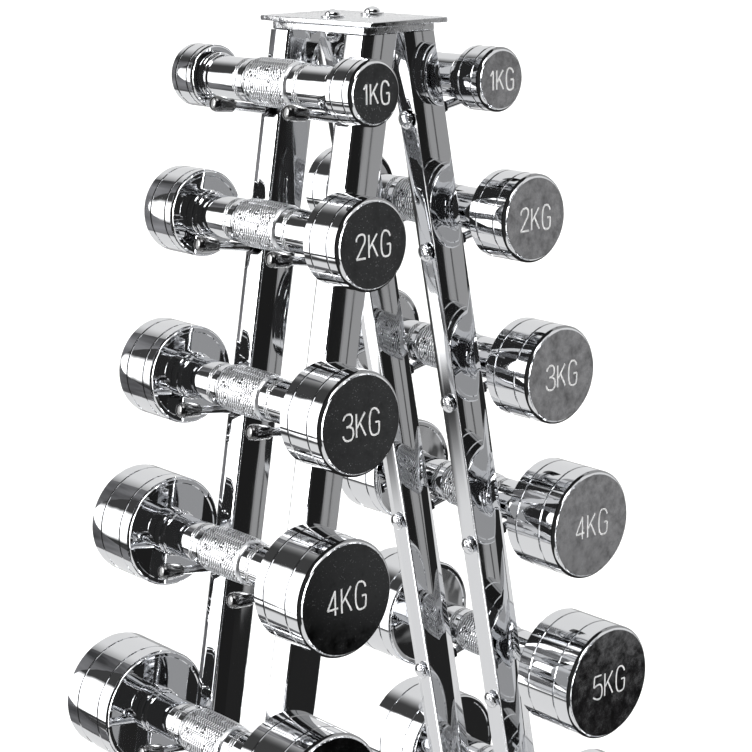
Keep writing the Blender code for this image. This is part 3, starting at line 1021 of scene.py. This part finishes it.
    def knurled(self, name, sizes, centre, length, radius, taper, crown):
        """A turned sleeve with every other vertex raised, so that it stands in diamond points.

        Its ends run down smoothly over the taper, and the crown is how much lower they lie than its middle.
        Its knurl_height is 1 at a point and on the smooth ends, and 0 in a groove.
        """
        around = 2 * round(math.tau * radius / sizes.knurl_pitch)
        along = 2 * round(length / sizes.knurl_pitch)
        step = length / along
        neck = sizes.neck_radius - 0.3 * MM
        low = radius - sizes.knurl_depth if taper > 1 * MM else radius - sizes.knurl_depth * 0.7
        rings = []
        for i in range(along + 1):
            z = -length / 2 + i * step
            edge = (length / 2 - abs(z)) / taper
            base = low - crown * (2 * z / length) ** 2
            if edge < 1:
                base = neck + (base - neck) * (0.15 + 0.85 * math.sin(max(edge, 0) * math.pi / 2))
            rings.append((base, centre + z))
        sleeve = turn(name, [(neck - 0.5 * MM, centre - length / 2)] + rings
                      + [(neck - 0.5 * MM, centre + length / 2)], around)
        raised = taper if taper > 1 * MM else step * 0.5

        def is_point(vert):
            z = vert.co.z - centre
            if length / 2 - abs(z) < raised:
                return False
            turn_index = round(math.atan2(vert.co.y, vert.co.x) / math.tau * around)
            return (turn_index + round((z + length / 2) / step)) % 2 == 0

        smooth = length / 2 - raised
        height = sleeve.data.attributes.new("knurl_height", "FLOAT", "POINT")
        height.data.foreach_set("value", [1.0 if is_point(vert) or abs(vert.co.z - centre) > smooth else 0.0
                                          for vert in sleeve.data.vertices])
        start_edit(sleeve)
        pick(sleeve, verts=is_point)
        grow = radius / low
        bpy.ops.transform.resize(value=(grow, grow, 1), center_override=(0, 0, centre))
        bpy.ops.mesh.select_all(action="SELECT")
        bpy.ops.mesh.quads_convert_to_tris(quad_method="SHORTEST_DIAGONAL", ngon_method="BEAUTY")
        bpy.ops.mesh.normals_make_consistent(inside=False)
        end_edit()
        make_active(sleeve)
        bpy.ops.object.shade_flat()
        return sleeve


# ---------------------------------------------------------------- stage

# The studio as light from afar: (from, to) degrees round from -X towards +Y, (from, to) degrees up,
# how soft the upright and the level edges are in degrees, and how bright; later ones lie over earlier ones
STUDIO = (
    ((12, 100), (-28, -2), 10, 4, 0.45),
    ((-180, 0), (-30, 62), 34, 3, 0.06),
    ((-180, -84), (-40, 62), 6, 5, 0.03),
    ((-158, -96), (46, 72), 6, 6, 5.0),
    ((-82, -34), (-27, 45), 3, 2, 2.4),
    ((-80, -52), (-4, 30), 5, 4, 12.0),
    ((-38, -29), (-23, -20), 2, 1, 0.05),
    ((108, 180), (-21, 45), 3, 2, 0.36),
    ((136.3, 137), (-21, 45), 0.4, 2, 0.08),
    ((140.2, 140.5), (-21, 45), 0.3, 2, 0.20),
    ((140.9, 180), (-30, 60), 0.6, 4, 0.015),
    ((100, 180), (-75, -21), 3, 1.5, 0.02),
)
WALLS = 0.85
# A narrow dark card beside the front column, leaning as the legs do: its middle, its width and height,
# and its turn about Z in degrees
CARD_PLACE = (-0.180, -0.192, 0.54)
CARD_SIZE = (0.044, 1.0)
CARD_TURN = -47.8
# The key light: where it shines from, what it shines at, its strength and its width in degrees
KEY_PLACE = (-1.3, -1.6, 2.6)
KEY_TARGET = (0, 0, 0.5)
KEY_STRENGTH = 2.6
KEY_WIDTH = 25
# The camera: its turn round the rack, its pitch and its roll in degrees, then its distance from the rack's
# middle, its shift to the side and its height over the top plate in metres, and its lens in millimetres
CAMERA_TURN = (48.77, 14.21, 0.813)
CAMERA_PLACE = (1.3545, 0.0123, 0.0937)
CAMERA_LENS = 95.44


def studio_world():
    """Soft white walls with one large softbox, a dark ceiling and black cards, all as light from afar."""
    world = bpy.data.worlds.new("Studio")
    bpy.context.scene.world = world
    world.use_nodes = True
    tree = world.node_tree
    tree.nodes.clear()
    way = add_node(tree, "ShaderNodeTexCoord").outputs["Generated"]
    parts = add_node(tree, "ShaderNodeSeparateXYZ", links={0: way})
    back = add_node(tree, "ShaderNodeMath", {"operation": "MULTIPLY", 1: -1.0}, {0: parts.outputs["X"]})
    round_way = add_node(tree, "ShaderNodeMath", {"operation": "ARCTAN2"},
                         {0: parts.outputs["Y"], 1: back.outputs[0]}).outputs[0]
    up = add_node(tree, "ShaderNodeMath", {"operation": "ARCSINE"}, {0: parts.outputs["Z"]}).outputs[0]
    light = None
    for (left, right), (low, high), soft_side, soft_level, value in STUDIO:
        inside = None
        for socket, start, end, soft in ((round_way, left, right, soft_side), (up, low, high, soft_level)):
            for edge, sign in ((start, 1), (end, -1)):
                if abs(edge) in (90, 180):
                    continue
                first, last = math.radians(edge - soft / 2), math.radians(edge + soft / 2)
                before, after = (0.0, 1.0) if sign > 0 else (1.0, 0.0)
                ramp = add_node(tree, "ShaderNodeMapRange",
                                {"interpolation_type": "SMOOTHSTEP", 1: first, 2: last, 3: before, 4: after},
                                {0: socket}).outputs[0]
                if inside is None:
                    inside = ramp
                else:
                    inside = add_node(tree, "ShaderNodeMath", {"operation": "MULTIPLY"},
                                      {0: inside, 1: ramp}).outputs[0]
        mix = add_node(tree, "ShaderNodeMix", {"data_type": "FLOAT", 2: WALLS, 3: value}, {0: inside})
        if light is not None:
            tree.links.new(light, mix.inputs[2])
        light = mix.outputs[0]
    seen = add_node(tree, "ShaderNodeLightPath").outputs["Is Camera Ray"]
    shown = add_node(tree, "ShaderNodeMix", {"data_type": "FLOAT", 3: 1.0}, {0: seen, 2: light})
    background = add_node(tree, "ShaderNodeBackground", {"Color": (1, 1, 1, 1)},
                          {"Strength": shown.outputs[0]})
    add_node(tree, "ShaderNodeOutputWorld", links={"Surface": background.outputs[0]})


class RACK_OT_stage(bpy.types.Operator):
    """Pale floor, soft studio light and the camera"""
    bl_idname = "rack.stage"
    bl_label = "Stage"

    def execute(self, context):
        scene = context.scene
        deselect()
        bpy.ops.mesh.primitive_plane_add(size=70.0, location=(0, 0, 0))
        floor = context.active_object
        floor.name = "studio_floor"
        floor.visible_glossy = False
        floor.data.materials.append(studio_paint("Studio floor paint", scene.rack_colours.floor))
        studio_world()
        deselect()
        bpy.ops.mesh.primitive_plane_add(size=1, location=CARD_PLACE,
                                         rotation=(math.pi / 2, 0, math.radians(CARD_TURN)))
        card = context.active_object
        card.name = "dark_card"
        card.scale = (CARD_SIZE[0], CARD_SIZE[1], 1)
        bpy.ops.object.transform_apply(location=False, rotation=True, scale=True)
        card.rotation_euler = (-LEAN, 0, 0)
        bpy.ops.object.transform_apply(location=True, rotation=True, scale=True)
        card.visible_camera = False
        card.visible_diffuse = False
        card.visible_shadow = False
        card.data.materials.append(card_paint("Grey card paint", scene.rack_colours.card))
        deselect()
        bpy.ops.object.light_add(type="SUN", location=KEY_PLACE)
        key = context.active_object
        key.name = "key_light"
        key.data.energy = KEY_STRENGTH
        key.data.angle = math.radians(KEY_WIDTH)
        key.rotation_euler = (Vector(KEY_TARGET) - key.location).to_track_quat("-Z", "Y").to_euler()
        key.visible_glossy = False
        azimuth, pitch, roll = (math.radians(value) for value in CAMERA_TURN)
        distance, aside, above = CAMERA_PLACE
        stand_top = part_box("top_plate")[1].z
        away = Vector((math.sin(azimuth), -math.cos(azimuth), 0))
        right = Vector((math.cos(azimuth), math.sin(azimuth), 0))
        place = away * distance + right * aside + Vector((0, 0, stand_top + above))
        look = (away * math.cos(pitch) + Vector((0, 0, math.sin(pitch)))).normalized()
        deselect()
        bpy.ops.object.camera_add(location=place)
        camera = context.active_object
        camera.name = "camera"
        camera.data.lens = CAMERA_LENS
        camera.data.sensor_width = 36.0
        camera.data.clip_start = 0.05
        turned = look.to_track_quat("Z", "Y").to_matrix().to_4x4()
        camera.matrix_world = Matrix.Translation(place) @ turned @ Matrix.Rotation(-roll, 4, "Z")
        scene.camera = camera
        scene.view_settings.view_transform = "Standard"
        return {"FINISHED"}


class RACK_PT_panel(bpy.types.Panel):
    """Everything the rack is built from"""
    bl_label = "Dumbbell Rack"
    bl_idname = "RACK_PT_panel"
    bl_space_type = "VIEW_3D"
    bl_region_type = "UI"
    bl_category = "Rack"

    def draw(self, context):
        for operator in OPERATORS:
            self.layout.operator(operator.bl_idname)
        for group in GROUPS:
            box = self.layout.box()
            for name in group.__annotations__:
                box.prop(getattr(context.scene, GROUPS[group]), name)


OPERATORS = (RACK_OT_legs, RACK_OT_top, RACK_OT_base, RACK_OT_pegs, RACK_OT_dumbbells, RACK_OT_stage)
GROUPS = {RackStandSizes: "rack_stand", RackPegSizes: "rack_pegs", RackDumbbellSizes: "rack_dumbbell",
          RackColours: "rack_colours"}


def register():
    for cls in (*GROUPS, *OPERATORS, RACK_PT_panel):
        bpy.utils.register_class(cls)
    for group, name in GROUPS.items():
        setattr(bpy.types.Scene, name, PointerProperty(type=group))


def unregister():
    for name in GROUPS.values():
        delattr(bpy.types.Scene, name)
    for cls in reversed((*GROUPS, *OPERATORS, RACK_PT_panel)):
        bpy.utils.unregister_class(cls)


def main():
    register()
    make_materials()
    bpy.ops.rack.stage()
    bpy.ops.rack.legs()
    bpy.ops.rack.top()
    bpy.ops.rack.base()
    bpy.ops.rack.pegs()
    bpy.ops.rack.dumbbells()


if __name__ == "__main__":
    main()
